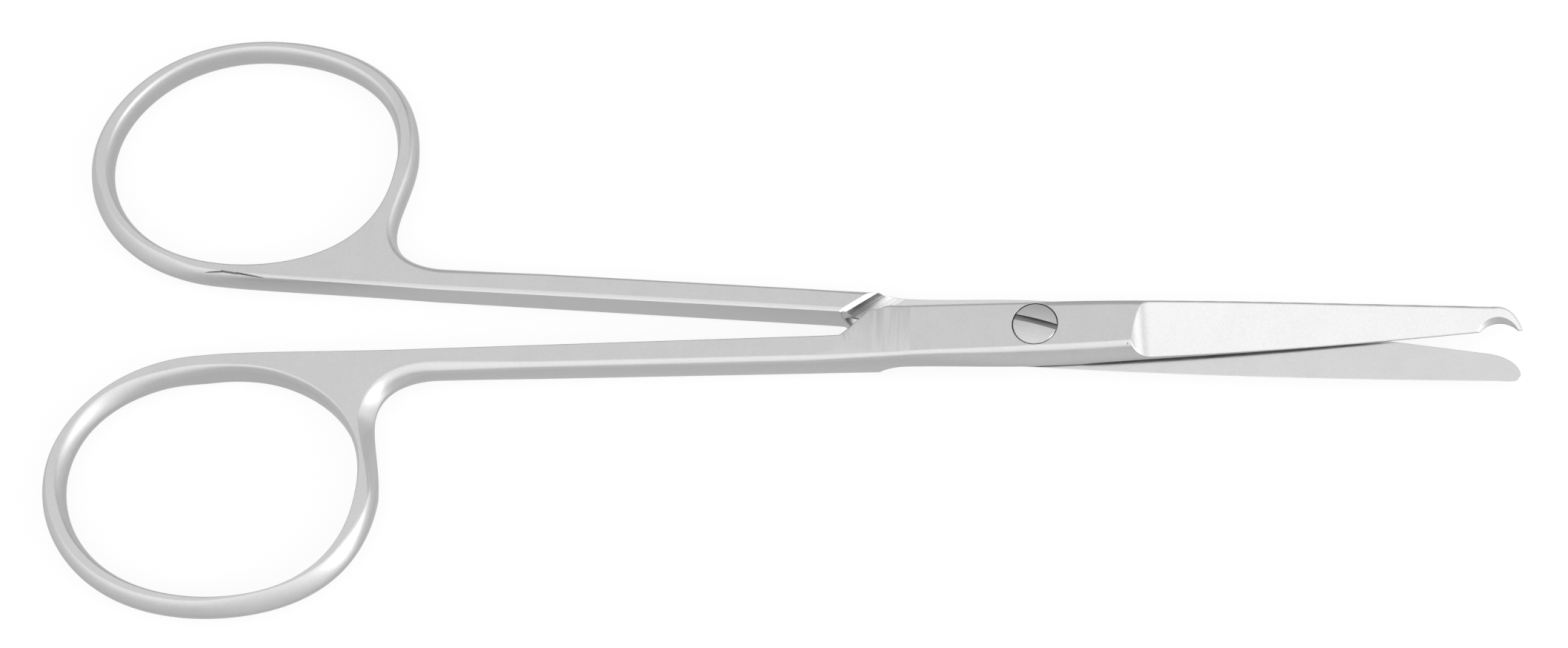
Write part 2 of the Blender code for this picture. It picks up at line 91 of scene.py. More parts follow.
# The shanks, and the necks where they meet the rings.
SHANK_INNER = 0.32
SHANK_WIDTH = 2.23
PLAIN_FLARE = 0.0
HOOK_FLARE = 0.26
SHANK_THICK = 2.95
SHANK_DRAFT = 0.15
SHANK_ROUND = 0.5
PLAIN_SHANK_ROUND = 0.22
EDGE_EASE = 0.07
CREST_WIDTH = 0.42
CREST_DEPTH = 0.05
NECK_ROUND = 0.85
NECK_FADE = 9.0
NECK_LENGTH = 5.2
NECK_HEIGHT = 4.2
NECK_START = 1.2
PLAIN_WAIST_ROUND = 0.65
HOOK_WAIST_ROUND = 1.25
THICKEN_RUN = 2.5

# The creases beside the plain ring, as rows of: x, y, turn, length and half width.
CREASES = ((-74.00, 0.84, 3.5, 1.7, 0.10),
           (-72.58, 0.85, -5.9, 1.7, 0.14),
           (-70.72, 0.68, -7.2, 2.6, 0.12))
CREASE_TOP = 0.05
CREASE_DEPTH = 0.25

# The lap joint, its shoulder and the nose.
LAP_THICK = 1.8
LAP_GAP = 0.1
JOINT_BACK = 3.14
PLAIN_WAIST = 3.28
HOOK_WAIST = 3.05
JOINT_FRONT = 3.22
PLAIN_HEEL = 2.65
HOOK_HEEL = 2.88
JOINT_BULGE = 0.88
JOINT_POWER = 1.55
HEEL_BULGE = 0.28
HEEL_POWER = 2
JOINT_SLOPE = 27.0
JOINT_ROUND = 0.22
CREST_ROUND = 0.32
SHOULDER_REACH = 16.95
LAP_RUN = 3.95
SHOULDER_TURN = 38.5
SHOULDER_CHAMFER = 0.34
CROTCH_BACK = 0.2
NOSE_UNDERCUT = 1.15
UNDERCUT_DEPTH = 0.55
NOSE_GAP = 0.38
NOSE_ROUND = 0.14
NOSE_START = 0.85
NOSE_STEEP = 4.0
NOSE_FLAT = 2.1
NOSE_LENGTH = 3.0

# The blades' grind, back and hollow.
GRIND_START = 8.1
GRIND_RADIUS = 2.0
GRIND_SLOPE = 15.6
GRIND_FALL = 0.2
EDGE_START = 0.5
EDGE_TIP = 0.17
BACK_BEVEL = 25.0
BACK_ROUND = 0.05
BACK_STRIP = 0.11
STRIP_SLOPE = 62.0
RELIEF_START = 4.0
RELIEF_DEPTH = 0.12

# The hooked blade and its notch, and the blunt blade.
HOOK_REACH = 41.7
HOOK_EDGE = 1.27
POINT_LIFT = 0.09
HOOK_BACK = 1.22
HOOK_BELLY = 0.22
NOTCH_BACKSET = 2.0
NOTCH_RADIUS = 2.05
NOTCH_FLOOR = 0.5
NOTCH_BEVEL = 47.0
NOTCH_TOP = 0.5
NOTCH_DEPTH = 0.75

BLUNT_REACH = 41.7
BLUNT_EDGE = 0.58
BLUNT_BACK = 2.0
BLUNT_BELLY = 0.1
BLUNT_ROUND = 2.6

# The screw.
SCREW_RADIUS = 1.15
SCREW_NECK = 1.35
HEAD_RADIUS = 1.94
HEAD_RIM = 0.5
HEAD_CONE = 0.3
HEAD_DOME = 0.14
HEAD_PROUD = 0.02
HEAD_EASE = 0.06
FIT_GAP = 0.06
TAIL_EASE = 0.15
SLOT_WIDTH = 0.52
SLOT_DEPTH = 0.34
SLOT_TURN = -14.5
SLOT_SHIFT = 0.2

# How wide the ring's edges are rounded, as pairs of an angle round the ring and a width.
PLAIN_OUTSIDE = ((0, 0.62), (60, 0.62), (120, 0.52), (175, 0.60), (200, 1.00), (240, 1.05),
                 (258, 0.80))
PLAIN_INSIDE = ((0, 0.50), (40, 0.72), (95, 0.74), (125, 0.62), (150, 0.52), (230, 0.42),
                (258, 0.36), (360, 0.50))
HOOK_OUTSIDE = ((0, 0.66), (30, 1.10), (60, 1.15), (95, 0.90), (150, 0.80), (190, 0.42),
                (258, 0.30))
HOOK_INSIDE = ((0, 0.26), (60, 0.28), (95, 0.40), (150, 0.52), (185, 0.90), (215, 1.08),
               (245, 0.80), (270, 0.50), (330, 0.42), (360, 0.26))
# How far the hooked half's hole stands out from its oval, as pairs of an angle and a length.
HOOK_HOLE_SWELL = ((0, 0.0), (195, 0.0), (240, -0.43), (287, 0.41), (345, 0.0), (360, 0.0))

# Where the outline's runs end, each as a length from the place that it is named after.
HEEL_BACK_X = 1.5
PIVOT_BACK_X = 1.0
HOOK_BACK_END = 2.5
BLUNT_BACK_END = 1.9
BLUNT_NOSE = 0.7
BLUNT_SHELF = 0.8
GRIND_ENTRY = 1.0
HEEL_FRONT_X = 1.0
SHANK_END = 3.0
NECK_EASE = 0.6
NECK_RISE = 0.05
NECK_WAIST_X = 0.8
FLAT_START = 1.5

# Where the outline's curves are pulled to, seen from their ends. Along X this is a length, or
# a share of the span for a curve that has one. Along Y it is a length, but at the ring's end
# a share of the span too.
CROTCH_PULL = (0.2, -0.04)
NOSE_PULL = (-0.36, 0.36)
CORNER_PULL = (0.6, 0.0)
HEEL_PULL = (0.32, 0.0)
WAIST_PULL = (-0.36, -0.06)
BACK_PULL = (0.26, 0.02)
BACK_END_PULL = (0.6, -0.85)
HOOK_BACK_PULL = (-1.05, 0.0)
HOOK_POINT_PULL = (-0.42, -1.45)
BLUNT_BACK_PULL = (-0.5, 0.02)
BLUNT_NOSE_PULL = (-0.03, 0.2)
BLUNT_TIP_PULL = (-0.1, -1.1)
BLUNT_EDGE_PULL = (-0.42, -0.05)
HEEL_FRONT_PULL = (-1.0, 0.0)
SHANK_END_PULL = (-0.5, 0.0)
NECK_PULL = (-2.7, 0.05)
NECK_WAIST_PULL = (0.1, -3.1)
RING_WAIST_PULL = (-0.05, 2.0)
RING_SIDE_PULL = (0.05, -2.6)
RING_END_PULL = (0.19, -0.014)
FLAT_PULL = (-0.38, 0.0)

# Shares of the way to the heel, of the fall from the joint and of the blade's belly.
CORNER_SHARE = 0.24
GRIND_LEVEL = 0.25
BELLY_ENTRY = 0.6

# How much of the nose's, the rear's and the back's section is left at the places between.
CORNER_NOSE = 0.9
CORNER_REAR = 0.7
HEEL_NOSE = 0.55
TIP_BEVEL = 0.5

# How fine the meshes are. A wall has a loop of points at each level, from -1 to 1.
LEVEL_COUNT = 40
LEVELS = [-cos(pi * i / LEVEL_COUNT) for i in range(LEVEL_COUNT + 1)]
DETAIL = 4
ROUND_STEPS = 180
THICKEN_STEPS = 24
SHOULDER_STEPS = 30
SCOOP_STEPS = 28
RELIEF_STEPS = 40
DOME_STEPS = 14
ARC_STEP = 2
ARC_END = 258

# Distances under which points count as one, in metres, and the fill that keeps the inside.
SPLIT_DISTANCE = 0.00000001
CAP_DISTANCE = 0.0000001
FILL_INSIDE = 1

# From which upright share a normal counts as flat, and from which angle an edge stays sharp.
FLAT_NORMAL = 0.99995
HALF_CREASE = 18
SCREW_CREASE = 25

# How far the cutters reach past the metal.
CHAMFER_OVER = 0.8
LAP_OVER = 3.0
BORE_OVER = 1.0

# Finishes, in the order of every half's material slots.
FORGED, GROUND, LAPPED, MILLED, CHAMFER, BORE = range(6)

JOINT_HALF = LAP_THICK + LAP_GAP / 2
SHANK_HALF = SHANK_THICK / 2
RING_HALF = RING_THICK / 2
SHANK_OUTER = SHANK_INNER + SHANK_WIDTH
LAP_START = SHOULDER_REACH - LAP_RUN
NECK_STATION = -min(PLAIN_RING_REACH, HOOK_RING_REACH) + HOLE_LONG + BAND_END + NECK_START
THICKEN_START = -SHOULDER_REACH - THICKEN_RUN
THICKEN_END = -LAP_START + THICKEN_RUN
CUTTER_WIDTH = 6 * JOINT_BACK

# The steel's noises: cells for each millimetre, detail and roughness.
FINE_NOISE = (5.0, 3.0, 0.6)
CLOUD_NOISE = (0.33, 4.0, 0.55)
STREAK_NOISE = (1.0, 3.0, 0.6)
STREAK_STRETCH = (0.12, 6.0, 6.0)
PIT_CELLS = 0.13
PIT_DEPTH = 0.02
BEVEL_SAMPLES = 4

# What they are spread over and, where it is the same for every finish, what they give there.
CLOUD_RANGE = (0.3, 0.7)
STREAK_RANGE = (0.25, 0.75)
# The steepness over which a face gets painted shade in its colour.
STEEP_SHADE_RANGE = (0.2, 0.97)
WORN_RANGE = (-66.0, -52.0)
PIT_MASK = (0.008, 0.014, 1.0, 0.0)
STREAK_ROUGHNESS = (0.2, 0.8, -0.02, 0.02)
CLOUD_TONE = (0.25, 0.75, 0.975, 1.025)
FINE_TONE = (0.3, 0.7, 0.97, 1.03)

# The studio's light, as rows of: toward, full within, gone beyond, and radiance.
STUDIO_BASE = 0.508
STUDIO_TOP = ((0, 0, 1), 0, 100, 0.12)
STUDIO_LOBES = (
    ((-0.15, -0.35, 0.92), 16, 66, 0.73),
    ((0.97, 0.10, 0.22), 8, 46, 0.84),
    ((-0.95, 0.10, 0.30), 10, 60, 0.14),
    ((0.63, -0.63, 0.45), 8, 32, 0.70),
    ((-0.82, -0.50, 0.25), 8, 42, 0.34),
    ((-0.15, -0.97, 0.18), 8, 42, 0.22),
)

# The key lamp's place and width in metres, and its radiance.
KEY_PLACE = (0.85, -0.30, 0.40)
KEY_WIDTH = 0.36
KEY_RADIANCE = 7.0

# The floor's reach from the middle in metres, and how far it lies under the scissors.
FLOOR_REACH = 2.0
FLOOR_DROP = 0.02
FLOOR_SHADE = 0.95
FLOOR_ROUGHNESS = 0.8
FLOOR_GLOW = 0.85

# The camera: its tilt, swing and turn, its distance and the point in the picture's middle,
# how wide the picture is and how long the scissors are in it, and what it sees in metres.
VIEW_TILT = 28.5
VIEW_SWING = 13.65
VIEW_TURN = 4.64
VIEW_DISTANCE = 415.0
LOOK_AT = (-22.23, 0.60, 1.85)
PHOTO_WIDTH = 2116
PHOTO_LENGTH = 2003.0
REAL_LENGTH = 130.0
MM_PER_PIXEL = REAL_LENGTH / PHOTO_LENGTH
SENSOR_WIDTH = 36.0
CLIP_START = 0.01
CLIP_END = 20.0


def bezier(p0, p1, p2, p3, count):
    """Points of a cubic from p0 up to, but without, p3."""
    count = count * DETAIL
    points = []
    for i in range(count):
        t = i / count
        a, b, c, e = (1 - t) ** 3, 3 * t * (1 - t) ** 2, 3 * t * t * (1 - t), t ** 3
        points.append((a * p0[0] + b * p1[0] + c * p2[0] + e * p3[0],
                       a * p0[1] + b * p1[1] + c * p2[1] + e * p3[1]))
    return points


def line(p0, p1, count):
    """Points of a straight run from p0 up to, but without, p1."""
    return [(p0[0] + (p1[0] - p0[0]) * i / count,
             p0[1] + (p1[1] - p0[1]) * i / count) for i in range(count)]


def pull(point, handle, span=1.0):
    """The control point that an end of a curve is pulled towards."""
    return (point[0] + handle[0] * span, point[1] + handle[1])


def smooth(share):
    """A share from 0 to 1, eased at both ends."""
    return share * share * (3 - 2 * share)


def ring_point(hooked, angle, extra_end=0.0, extra_side=0.0, twist=0.0):
    """A point of the ring's oval, a little squared towards the shank, at an angle."""
    turn = radians((HOOK_RING_TURN if hooked else PLAIN_RING_TURN) + twist)
    reach = HOOK_RING_REACH if hooked else PLAIN_RING_REACH
    offset = HOOK_RING_OFFSET if hooked else PLAIN_RING_OFFSET
    t = radians(angle)
    grow = 1.0 - HOLE_SQUARING * cos(4 * t) * (1 + cos(t)) / 2
    u, v = (HOLE_LONG + extra_end) * cos(t) * grow, (HOLE_SHORT + extra_side) * sin(t) * grow
    return (-reach + u * cos(turn) - v * sin(turn), offset + u * sin(turn) + v * cos(turn))


def ring_edge(hooked, angle):
    """A point of the ring's outer edge."""
    return ring_point(hooked, angle, BAND_END, BAND_SIDE)


def rounded(radius, half):
    """How far each level stands in where both edges of a side are rounded."""
    insets = []
    for level in LEVELS:
        over = max(0.0, abs(level) * half - (half - radius)) / radius
        insets.append(radius * (1 - sqrt(max(0.0, 1 - over ** 2))))
    return insets


def between(pairs, angle):
    """The value at an angle, from a short list of (angle, value)."""
    for (one, low), (two, high) in zip(pairs, pairs[1:]):
        if angle <= two:
            share = (angle - one) / (two - one)
            return low + (high - low) * smooth(share)
    return pairs[-1][1]


def oval(hooked, side):
    """A side that bulges from both faces to the middle, by a width, fuller underneath."""
    insets = []
    for level in LEVELS:
        under = (level > 0) == hooked
        power = RING_UNDER
        if not under:
            power = RING_POWER - RING_FLATTEN * max(0.0, side - RING_FACET)
        insets.append(side * (1 - (1 - abs(level) ** power) ** (1 / power)))
    return insets


def section_ring(hooked, angle):
    """The ring's outer side at an angle."""
    return oval(hooked, between(HOOK_OUTSIDE if hooked else PLAIN_OUTSIDE, angle))


def web_share(angle):
    """How much the hole at an angle lies beside the flat web: from 0 to 1."""
    away = max(WEB_START - angle, angle - WEB_END, 0.0)
    if angle < WEB_START:
        away = min(away, angle + 360.0 - WEB_END)
    return smooth(max(0.0, 1.0 - away / WEB_FADE))


def hole_point(hooked, angle):
    """A point of the finger hole's edge, which is cut differently beside each web."""
    extra = (HOOK_WEB_CUT if hooked else PLAIN_WEB_CUT) * web_share(angle)
    if hooked:
        extra += between(HOOK_HOLE_SWELL, angle)
    twist = HOOK_HOLE_TWIST if hooked else PLAIN_HOLE_TWIST
    return ring_point(hooked, angle, extra, extra, twist)


def section_hole(hooked, angle):
    """The hole's side at an angle: rounded as the ring is, but crisp on the web's lap side."""
    ring = oval(hooked, between(HOOK_INSIDE if hooked else PLAIN_INSIDE, angle))
    lap = blend(ring, rounded(WEB_ROUND, RING_HALF), web_share(angle))
    return [one if level > 0 else two for one, two, level in zip(lap, ring, LEVELS)]


def section_inner():
    """The inner side, with the low crest that runs along its top edge."""
    insets = []
    for level in LEVELS:
        depth = (1.0 - abs(level)) * SHANK_HALF
        ease = max(0.0, EDGE_EASE - depth)
        crest = max(0.0, CREST_WIDTH * (1.0 - depth / CREST_DEPTH)) if level > 0 else 0.0
        insets.append(max(ease, crest))
    return insets


def section_outer(edge_round=SHANK_ROUND):
    """The outer side, with rounded edges and a little draft."""
    edge = rounded(edge_round, SHANK_HALF)
    return [inset + SHANK_DRAFT * level ** 2 for inset, level in zip(edge, LEVELS)]


def section_joint(side, edge_round, power):
    """A side that leans in over a width, straight or bulging, to a rounded crest."""
    edge = rounded(edge_round, JOINT_HALF)
    insets = [inset + side * abs(level) ** power for inset, level in zip(edge, LEVELS)]
    lap_side = section_outer()
    return [lap if level > 0 else inset for inset, lap, level in zip(insets, lap_side, LEVELS)]


def section_nose():
    """The lap's rear end, rounded under so that it swings into the other half's scoop."""
    top = rounded(NOSE_ROUND, JOINT_HALF)
    insets = []
    for inset, level in zip(top, LEVELS):
        under = max(0.0, 1.0 - abs(min(level, 0.0)) / UNDERCUT_DEPTH)
        insets.append(inset + NOSE_UNDERCUT * under ** 2)
    return insets


def section_edge():
    """The cutting edge's side, which is upright."""
    return [0.0 for level in LEVELS]


def blade_end(hooked):
    """How far the blade reaches, and the Y of its cutting edge there."""
    return (HOOK_REACH, HOOK_EDGE) if hooked else (BLUNT_REACH, BLUNT_EDGE)


def grind_turn(hooked):
    """How the ground facet lies, as a rotation, and the Y at which it starts."""
    reach, edge_y = blade_end(hooked)
    start_y = JOINT_FRONT - (JOINT_FRONT - edge_y) * GRIND_FALL
    run = reach - NOTCH_BACKSET * 2 - GRIND_START
    chord = atan2(edge_y - start_y, run)
    taper = atan2(EDGE_START - EDGE_TIP, run)
    return Euler((radians(GRIND_SLOPE), -taper, chord)), start_y


def stripped(hooked, point, section):
    """A back side with a narrow strip along its top, just under the ground facet."""
    turn, start_y = grind_turn(hooked)
    normal = turn.to_matrix() @ Vector((0, 0, 1))
    away = (point[0] - GRIND_START) * normal.x + (point[1] - start_y) * normal.y
    lean = 1 + tan(radians(GRIND_SLOPE)) * tan(radians(BACK_BEVEL))
    height = min(JOINT_HALF, (EDGE_START + away / normal.z) / lean)
    insets = []
    for inset, level in zip(section, LEVELS):
        over = -level * JOINT_HALF - (height - BACK_STRIP)
        insets.append(inset + tan(radians(STRIP_SLOPE)) * min(max(over, 0.0), 2 * BACK_STRIP))
    return insets


def blend(first, second, share):
    """A section between two others."""
    return [a + (b - a) * share for a, b in zip(first, second)]


def larger(first, second):
    """The section that has the larger inset of two at each level."""
    return [max(pair) for pair in zip(first, second)]


def half_thickness(x, side):
    """Half the forging's thickness at x, on the outer (-1) or the lap (+1) side."""
    if x <= NECK_STATION:
        return RING_HALF
    if x <= THICKEN_START or side > 0:
        share = min(1.0, (x - NECK_STATION) / (THICKEN_START - NECK_STATION))
        return RING_HALF + (SHANK_HALF - RING_HALF) * share
    share = smooth(min(1.0, (x - THICKEN_START) / (THICKEN_END - THICKEN_START)))
    return SHANK_HALF + (JOINT_HALF - SHANK_HALF) * share


def shoulder_point(distance):
    """A point on the shoulder's line, measured from the shank's inner side."""
    turn = radians(SHOULDER_TURN)
    return (-SHOULDER_REACH + distance * cos(turn), SHANK_INNER + distance * sin(turn))


def nose_line():
    """The lap's rear end: the other half's shoulder line, mirrored and set off by a gap.

    It is a little steeper than the shoulder, and the last point is where the side leans in.
    """
    turn = radians(SHOULDER_TURN)
    x, y = shoulder_point(NOSE_START)
    start = (x + NOSE_GAP * sin(turn), NOSE_GAP * cos(turn) - y)
    steep = radians(SHOULDER_TURN + NOSE_STEEP)
    return [(start[0] + reach * cos(steep), start[1] - reach * sin(steep))
            for reach in (0.0, NOSE_FLAT, NOSE_LENGTH)]


def outline(hooked):
    """Runs of the outline, each as (points, section at its start, section at its end)."""
    reach, edge_y = blade_end(hooked)
    back_y = -HOOK_BACK if hooked else -BLUNT_BACK
    belly = HOOK_BELLY if hooked else BLUNT_BELLY
    waist_y = HOOK_WAIST if hooked else PLAIN_WAIST
    heel_y = HOOK_HEEL if hooked else PLAIN_HEEL
    flare = HOOK_FLARE if hooked else PLAIN_FLARE
    inner, outer = section_inner(), section_outer(SHANK_ROUND if hooked else PLAIN_SHANK_ROUND)
    nose, edge = section_nose(), section_edge()
    neck_outer = section_outer(NECK_ROUND if hooked else SHANK_ROUND)
    neck = oval(hooked, HOOK_WAIST_ROUND if hooked else PLAIN_WAIST_ROUND)
    joint = section_joint(JOINT_BULGE, CREST_ROUND, JOINT_POWER)
    joint_heel = section_joint(HEEL_BULGE, CREST_ROUND, HEEL_POWER)
    rear = section_joint(tan(radians(JOINT_SLOPE)) * JOINT_HALF, JOINT_ROUND, 1)
    back = section_joint(tan(radians(BACK_BEVEL)) * JOINT_HALF, BACK_ROUND, 1)
    tip = blend(edge, back, TIP_BEVEL)
    corner_wall = larger(blend(edge, nose, CORNER_NOSE), blend(edge, rear, CORNER_REAR))
    heel_wall = larger(rear, blend(edge, nose, HEEL_NOSE))
    runs = []

    # The nose, round its corner to the heel, and along the joint's back.
    crotch = (-SHOULDER_REACH - CROTCH_BACK, SHANK_INNER)
    nose_a, nose_b, nose_c = nose_line()
    runs.append((bezier(crotch, pull(crotch, CROTCH_PULL), pull(nose_a, NOSE_PULL), nose_a, 5),
                 inner, nose))
    runs.append((line(nose_a, nose_b, 1), nose, nose))
    runs.append((line(nose_b, nose_c, 2), nose, corner_wall))
    heel = (-LAP_START + HEEL_BACK_X, -JOINT_BACK)
    corner = (nose_c[0] + (heel[0] - nose_c[0]) * CORNER_SHARE, -JOINT_BACK)
    runs.append((bezier(nose_c, corner, pull(corner, CORNER_PULL), heel, 7),
                 corner_wall, heel_wall))
    pivot_back = (PIVOT_BACK_X, -waist_y)
    span = pivot_back[0] - heel[0]
    runs.append((bezier(heel, pull(heel, HEEL_PULL, span), pull(pivot_back, WAIST_PULL, span),
                        pivot_back, 8), heel_wall, rear))

    # The blade's back, with the strip under the grind.
    end_back = (reach - (HOOK_BACK_END if hooked else BLUNT_BACK_END), back_y)
    span = end_back[0] - pivot_back[0]
    points = bezier(pivot_back, pull(pivot_back, BACK_PULL, span),
                    pull((pivot_back[0], back_y), BACK_END_PULL, span), end_back, 14)
    sections = [stripped(hooked, point, blend(rear, back, i / len(points)))
                for i, point in enumerate(points)]
    back = stripped(hooked, end_back, back)
    for point, start, end in zip(points, sections, sections[1:] + [back]):
        runs.append(([point], start, end))

    # The tip.
    corner_back, corner_edge = (reach, back_y), (reach, edge_y)
    if hooked:
        point = (reach, edge_y - POINT_LIFT)
        runs.append((bezier(end_back, pull(corner_back, HOOK_BACK_PULL),
                            pull(corner_edge, HOOK_POINT_PULL), point, 10), back, edge))
        shelf = (reach - 2 * NOTCH_BACKSET, edge_y)
        runs.append((line(point, shelf, 1), edge, edge))
    else:
        point = (reach, back_y + BLUNT_NOSE)
        runs.append((bezier(end_back, pull(corner_back, BLUNT_BACK_PULL),
                            pull(corner_back, BLUNT_NOSE_PULL), point, 7), back, tip))
        shelf = (reach - BLUNT_ROUND - BLUNT_SHELF, edge_y)
        runs.append((bezier(point, pull(corner_edge, BLUNT_TIP_PULL),
                            pull(corner_edge, BLUNT_EDGE_PULL, BLUNT_ROUND), shelf, 8),
                     tip, edge))

    # The cutting edge, the joint's front and the heel.
    grind = (GRIND_START + GRIND_ENTRY, grind_turn(hooked)[1] + belly * BELLY_ENTRY)
    third = (shelf[0] - grind[0]) / 3
    fall = (grind[1] - shelf[1]) / 3
    runs.append((bezier(shelf, (shelf[0] - third, shelf[1] + fall + belly),
                        (grind[0] + third, grind[1] - fall + belly), grind, 12), edge, joint))
    pivot_front = (0.0, JOINT_FRONT)
    runs.append((bezier(grind, (grind[0] * 2 / 3, grind[1] + fall * GRIND_LEVEL),
                        (grind[0] / 3, JOINT_FRONT), pivot_front, 6), joint, joint))
    heel_front = (-LAP_START + HEEL_FRONT_X, heel_y)
    runs.append((bezier(pivot_front, (heel_front[0] / 3, JOINT_FRONT),
                        (heel_front[0] * 2 / 3, heel_y), heel_front, 7), joint, joint_heel))
    shank_y = SHANK_OUTER + flare
    shank_end = (-SHOULDER_REACH - SHANK_END, shank_y)
    runs.append((bezier(heel_front, pull((-LAP_START, heel_y), HEEL_FRONT_PULL),
                        pull((-SHOULDER_REACH, shank_y), SHANK_END_PULL), shank_end, 6),
                 joint_heel, outer))

    # The shank's outer side and the neck.
    ring_side = ring_edge(hooked, 0)
    neck_end = (ring_side[0] + NECK_LENGTH - NECK_EASE, SHANK_OUTER + NECK_RISE)
    fade = (neck_end[0] + NECK_FADE, neck_end[1])
    runs.append((line(shank_end, fade, 1), outer, outer))
    runs.append((line(fade, neck_end, 8), outer, neck_outer))
    waist = (ring_side[0] - NECK_WAIST_X, SHANK_OUTER + NECK_HEIGHT)
    runs.append((bezier(neck_end, pull(neck_end, NECK_PULL), pull(waist, NECK_WAIST_PULL),
                        waist, 9), neck_outer, neck))
    runs.append((bezier(waist, pull(waist, RING_WAIST_PULL), pull(ring_side, RING_SIDE_PULL),
                        ring_side, 5), neck, section_ring(hooked, 0)))

    # Round the ring, and back along the shank's inner side.
    for angle in range(0, ARC_END, ARC_STEP):
        runs.append(([ring_edge(hooked, angle)], section_ring(hooked, angle),
                     section_ring(hooked, angle + ARC_STEP)))
    low = ring_edge(hooked, ARC_END)
    flat = (NECK_STATION + FLAT_START, SHANK_INNER)
    span = flat[0] - low[0]
    lean = (low[0] + RING_END_PULL[0] * span, low[1] + RING_END_PULL[1] * span)
    runs.append((bezier(low, lean, pull(flat, FLAT_PULL, span), flat, 10),
                 section_ring(hooked, ARC_END), inner))
    runs.append((line(flat, crotch, 1), inner, inner))
    return runs


def flatten(runs):
    """Outline points with their level insets, in order."""
    points, insets = [], []
    for run, start, end in runs:
        for i, point in enumerate(run):
            points.append(point)
            insets.append(blend(start, end, i / len(run)))
    return points, insets


def offset_loop(points, insets, level):
    """The loop moved into the material by each point's inset at a level."""
    moved = []
    count = len(points)
    for i, (x, y) in enumerate(points):
        x0, y0 = points[i - 1]
        x1, y1 = points[(i + 1) % count]
        length = hypot(x1 - x0, y1 - y0)
        nx, ny = (y1 - y0) / length, (x0 - x1) / length
        inset = insets[i][level]
        moved.append((x - nx * inset, y - ny * inset))
    return moved


def add_walls(bm, points, insets):
    """Loft a wall through the offset loops of every level, and return its loops."""
    loops = []
    for level, height in enumerate(LEVELS):
        moved = offset_loop(points, insets, level)
        loops.append([bm.verts.new((x * MM, y * MM, height * MM)) for x, y in moved])
    for lower, upper in zip(loops, loops[1:]):
        for i in range(len(lower)):
            j = (i + 1) % len(lower)
            bm.faces.new((lower[i], lower[j], upper[j], upper[i]))
    return loops


def add_cap(bm, outer, hole):
    """Fill the flat between the outline and the finger hole with well-shaped triangles."""
    verts = outer + hole
    places = [vert.co.to_2d() for vert in verts]
    split = len(outer)
    loops = [list(range(split)), list(range(len(verts) - 1, split - 1, -1))]
    cells = delaunay_2d_cdt(places, [], loops, FILL_INSIDE, CAP_DISTANCE)
    corners, triangles, sources, origins = cells[0], cells[2], cells[3], cells[5]
    if len(corners) != len(verts):
        raise ValueError("the outline of a half meets itself")
    for triangle, inside in zip(triangles, origins):
        if inside == [0]:
            bm.faces.new([verts[sources[corner][0]] for corner in triangle])


def forging(name, hooked):
    """One half's forging, before its lap, blade and holes are cut."""
    points, insets = flatten(outline(hooked))
    angles = [360 - 360 * i / ROUND_STEPS for i in range(ROUND_STEPS)]
    hole = [hole_point(hooked, angle) for angle in angles]
    bm = bmesh.new()
    walls = add_walls(bm, points, insets)
    bore = add_walls(bm, hole, [section_hole(hooked, angle) for angle in angles])
    for level in (0, -1):
        add_cap(bm, walls[level], bore[level])
    bmesh.ops.recalc_face_normals(bm, faces=bm.faces[:])
    run = THICKEN_END - THICKEN_START
    stations = [THICKEN_START + run * i / THICKEN_STEPS for i in range(THICKEN_STEPS + 1)]
    for x in [NECK_STATION] + stations:
        bmesh.ops.bisect_plane(bm, geom=bm.verts[:] + bm.edges[:] + bm.faces[:],
                               dist=SPLIT_DISTANCE, plane_co=(x * MM, 0, 0), plane_no=(1, 0, 0))
    for vert in bm.verts:
        side = 1 if vert.co.z > 0 else -1
        vert.co.z *= half_thickness(vert.co.x / MM, side)
    large = [face for face in bm.faces if len(face.verts) > 4]
    bmesh.ops.triangulate(bm, faces=large)
    return add_object(name, bm)


def add_object(name, bm):
    """Turn a bmesh into an object of the scene."""
    mesh = bpy.data.meshes.new(name)
    bm.to_mesh(mesh)
    bm.free()
    obj = bpy.data.objects.new(name, mesh)
    bpy.context.scene.collection.objects.link(obj)
    return obj


def prism(name, profile, kinds, width):
    """A cutter with an X-Z profile, carried along Y. Each side of it has its own finish."""
    bm = bmesh.new()
    near = [bm.verts.new((x * MM, -width * MM / 2, z * MM)) for x, z in profile]
    far = [bm.verts.new((x * MM, width * MM / 2, z * MM)) for x, z in profile]
    for i, kind in enumerate(kinds):
        j = (i + 1) % len(profile)
        face = bm.faces.new((near[i], near[j], far[j], far[i]))
        face.material_index = kind
    bm.faces.new(near)
    bm.faces.new(far)
    bmesh.ops.recalc_face_normals(bm, faces=bm.faces[:])
    return add_object(name, bm)


def turned(name, profile, kind):
    """A profile of (radius, height) from top to bottom, turned about Z as a closed solid."""
    bm = bmesh.new()
    rows = []
    for r, z in profile:
        if r == 0.0:
            rows.append([bm.verts.new((0, 0, z * MM))] * ROUND_STEPS)
        else:
            turns = [2 * pi * i / ROUND_STEPS for i in range(ROUND_STEPS)]
            rows.append([bm.verts.new((r * MM * cos(t), r * MM * sin(t), z * MM))
                         for t in turns])
    for upper, lower in zip(rows, rows[1:]):
        for i in range(ROUND_STEPS):
            j = (i + 1) % ROUND_STEPS
            corners = []
            for vert in (upper[i], upper[j], lower[j], lower[i]):
                if vert not in corners:
                    corners.append(vert)
            face = bm.faces.new(corners)
            face.material_index = kind
    bmesh.ops.recalc_face_normals(bm, faces=bm.faces[:])
    return add_object(name, bm)


def cut(obj, cutter):
    """Take a cutter away from an object. The cut faces keep the cutter's finishes."""
    cutter.parent = obj
    for material in obj.data.materials:
        cutter.data.materials.append(material)
    boolean = obj.modifiers.new(cutter.name, "BOOLEAN")
    boolean.operation = "DIFFERENCE"
    boolean.solver = "EXACT"
    boolean.material_mode = "INDEX"
    boolean.object = cutter


